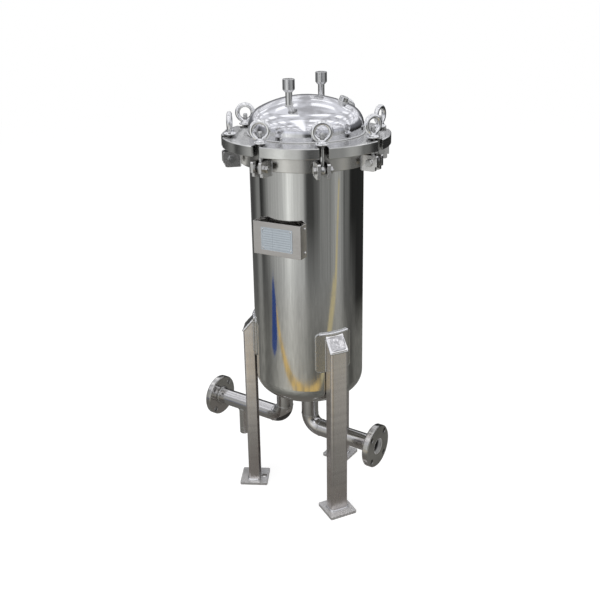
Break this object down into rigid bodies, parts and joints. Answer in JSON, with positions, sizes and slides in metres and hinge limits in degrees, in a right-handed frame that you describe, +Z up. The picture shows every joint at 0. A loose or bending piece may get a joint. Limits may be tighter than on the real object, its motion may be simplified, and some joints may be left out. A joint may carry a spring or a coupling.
{
  "type": "cartridge filter",
  "caption": "Upright multi-cartridge filter housing on channel legs: domed lid with swing bolts and eye nuts, flanged inlet and outlet below, pleated elements inside.",
  "frame": {"origin": "on the vessel axis at floor level, in the middle of the circle through the anchor holes", "axes": "+Z up along the vessel axis; +X out of the outlet flange, so the inlet leaves along -X; +Y to the back leg"},
  "size_m": [0.573, 0.4409, 1.1885],
  "materials": {
    "shell_steel": "stainless sheet, polished with a fine upright grain",
    "mirror_steel": "stainless, mirror polished",
    "ring_steel": "stainless, turned",
    "lid_steel": "stainless, turned and polished",
    "lug_steel": "stainless plate, ground",
    "bolt_steel": "stainless, machined",
    "nut_steel": "stainless, forged and polished",
    "fitting_steel": "stainless, polished",
    "leg_steel": "stainless sheet, satin, bent",
    "pad_steel": "stainless sheet, satin with a bright edge",
    "foot_steel": "stainless plate, polished",
    "pipe_steel": "stainless tube, mirror polished",
    "flange_steel": "stainless, turned",
    "drain_steel": "stainless nipple, machined",
    "bracket_steel": "stainless sheet, bent, satin",
    "screw_steel": "bright stainless",
    "plate_aluminium": "bare plate, satin, pale blue grey",
    "inner_steel": "stainless, plain",
    "seal_rubber": "black rubber",
    "core_plastic": "white moulded plastic",
    "cap_plastic": "white moulded plastic",
    "filter_media": "white pleated fleece"
  },
  "bodies": {
    "housing": {"shell": "shell_steel", "bottom_head": "shell_steel", "neck_ring": "ring_steel", "hinge_lugs": "lug_steel", "lug_pins": "bolt_steel", "pin_nuts": "bolt_steel", "lid_seal": "seal_rubber", "lid_flange": "lid_steel", "lid_dome": "mirror_steel", "lid_stems": "fitting_steel", "lid_sockets": "fitting_steel", "lid_boss": "fitting_steel", "leg_right": "leg_steel", "leg_back": "leg_steel", "leg_left": "leg_steel", "leg_caps": "leg_steel", "leg_pads": "pad_steel", "foot_plates": "foot_steel", "outlet_riser": "pipe_steel", "outlet_elbow": "pipe_steel", "outlet_pipe": "pipe_steel", "outlet_flange": "flange_steel", "inlet_riser": "pipe_steel", "inlet_elbow": "pipe_steel", "inlet_pipe": "pipe_steel", "inlet_flange": "flange_steel", "drain_stub": "drain_steel", "bracket_tabs": "bracket_steel", "bracket_cover": "bracket_steel", "bracket_screws": "screw_steel", "nameplate": "plate_aluminium", "plate_rivets": "screw_steel", "tube_sheet": "inner_steel", "seat_cups": "inner_steel", "tie_rod": "inner_steel", "hold_plate": "inner_steel", "hold_nut": "inner_steel", "element_cores": "core_plastic", "element_media": "filter_media", "element_lower_caps": "cap_plastic", "element_upper_caps": "cap_plastic", "element_seals": "seal_rubber"},
    "bolt_1": {"swing_bolt_1": "bolt_steel"},
    "nut_1": {"eye_nut_1": "nut_steel"},
    "bolt_2": {"swing_bolt_2": "bolt_steel"},
    "nut_2": {"eye_nut_2": "nut_steel"},
    "bolt_3": {"swing_bolt_3": "bolt_steel"},
    "nut_3": {"eye_nut_3": "nut_steel"},
    "bolt_4": {"swing_bolt_4": "bolt_steel"},
    "nut_4": {"eye_nut_4": "nut_steel"},
    "bolt_5": {"swing_bolt_5": "bolt_steel"},
    "nut_5": {"eye_nut_5": "nut_steel"},
    "bolt_6": {"swing_bolt_6": "bolt_steel"},
    "nut_6": {"eye_nut_6": "nut_steel"},
    "bolt_7": {"swing_bolt_7": "bolt_steel"},
    "nut_7": {"eye_nut_7": "nut_steel"},
    "bolt_8": {"swing_bolt_8": "bolt_steel"},
    "nut_8": {"eye_nut_8": "nut_steel"}
  },
  "joints": [
    {"name": "swing_1", "type": "hinge", "parent": "housing", "child": "bolt_1", "pos_m": [0.198, 0, 0.986], "axis": [0, 1, 0], "range_deg": [0, 180]},
    {"name": "spin_1", "type": "hinge", "parent": "bolt_1", "child": "nut_1", "pos_m": [0.198, 0, 0.986], "axis": [0, 0, 1], "continuous": true},
    {"name": "swing_2", "type": "hinge", "parent": "housing", "child": "bolt_2", "pos_m": [0.14001, 0.14001, 0.986], "axis": [-0.7071, 0.7071, 0], "range_deg": [0, 180]},
    {"name": "spin_2", "type": "hinge", "parent": "bolt_2", "child": "nut_2", "pos_m": [0.14001, 0.14001, 0.986], "axis": [0, 0, 1], "continuous": true},
    {"name": "swing_3", "type": "hinge", "parent": "housing", "child": "bolt_3", "pos_m": [0, 0.198, 0.986], "axis": [-1, 0, 0], "range_deg": [0, 180]},
    {"name": "spin_3", "type": "hinge", "parent": "bolt_3", "child": "nut_3", "pos_m": [0, 0.198, 0.986], "axis": [0, 0, 1], "continuous": true},
    {"name": "swing_4", "type": "hinge", "parent": "housing", "child": "bolt_4", "pos_m": [-0.14001, 0.14001, 0.986], "axis": [-0.7071, -0.7071, 0], "range_deg": [0, 180]},
    {"name": "spin_4", "type": "hinge", "parent": "bolt_4", "child": "nut_4", "pos_m": [-0.14001, 0.14001, 0.986], "axis": [0, 0, 1], "continuous": true},
    {"name": "swing_5", "type": "hinge", "parent": "housing", "child": "bolt_5", "pos_m": [-0.198, 0, 0.986], "axis": [0, -1, 0], "range_deg": [0, 180]},
    {"name": "spin_5", "type": "hinge", "parent": "bolt_5", "child": "nut_5", "pos_m": [-0.198, 0, 0.986], "axis": [0, 0, 1], "continuous": true},
    {"name": "swing_6", "type": "hinge", "parent": "housing", "child": "bolt_6", "pos_m": [-0.14001, -0.14001, 0.986], "axis": [0.7071, -0.7071, 0], "range_deg": [0, 180]},
    {"name": "spin_6", "type": "hinge", "parent": "bolt_6", "child": "nut_6", "pos_m": [-0.14001, -0.14001, 0.986], "axis": [0, 0, 1], "continuous": true},
    {"name": "swing_7", "type": "hinge", "parent": "housing", "child": "bolt_7", "pos_m": [0, -0.198, 0.986], "axis": [1, 0, 0], "range_deg": [0, 180]},
    {"name": "spin_7", "type": "hinge", "parent": "bolt_7", "child": "nut_7", "pos_m": [0, -0.198, 0.986], "axis": [0, 0, 1], "continuous": true},
    {"name": "swing_8", "type": "hinge", "parent": "housing", "child": "bolt_8", "pos_m": [0.14001, -0.14001, 0.986], "axis": [0.7071, 0.7071, 0], "range_deg": [0, 180]},
    {"name": "spin_8", "type": "hinge", "parent": "bolt_8", "child": "nut_8", "pos_m": [0.14001, -0.14001, 0.986], "axis": [0, 0, 1], "continuous": true}
  ]
}
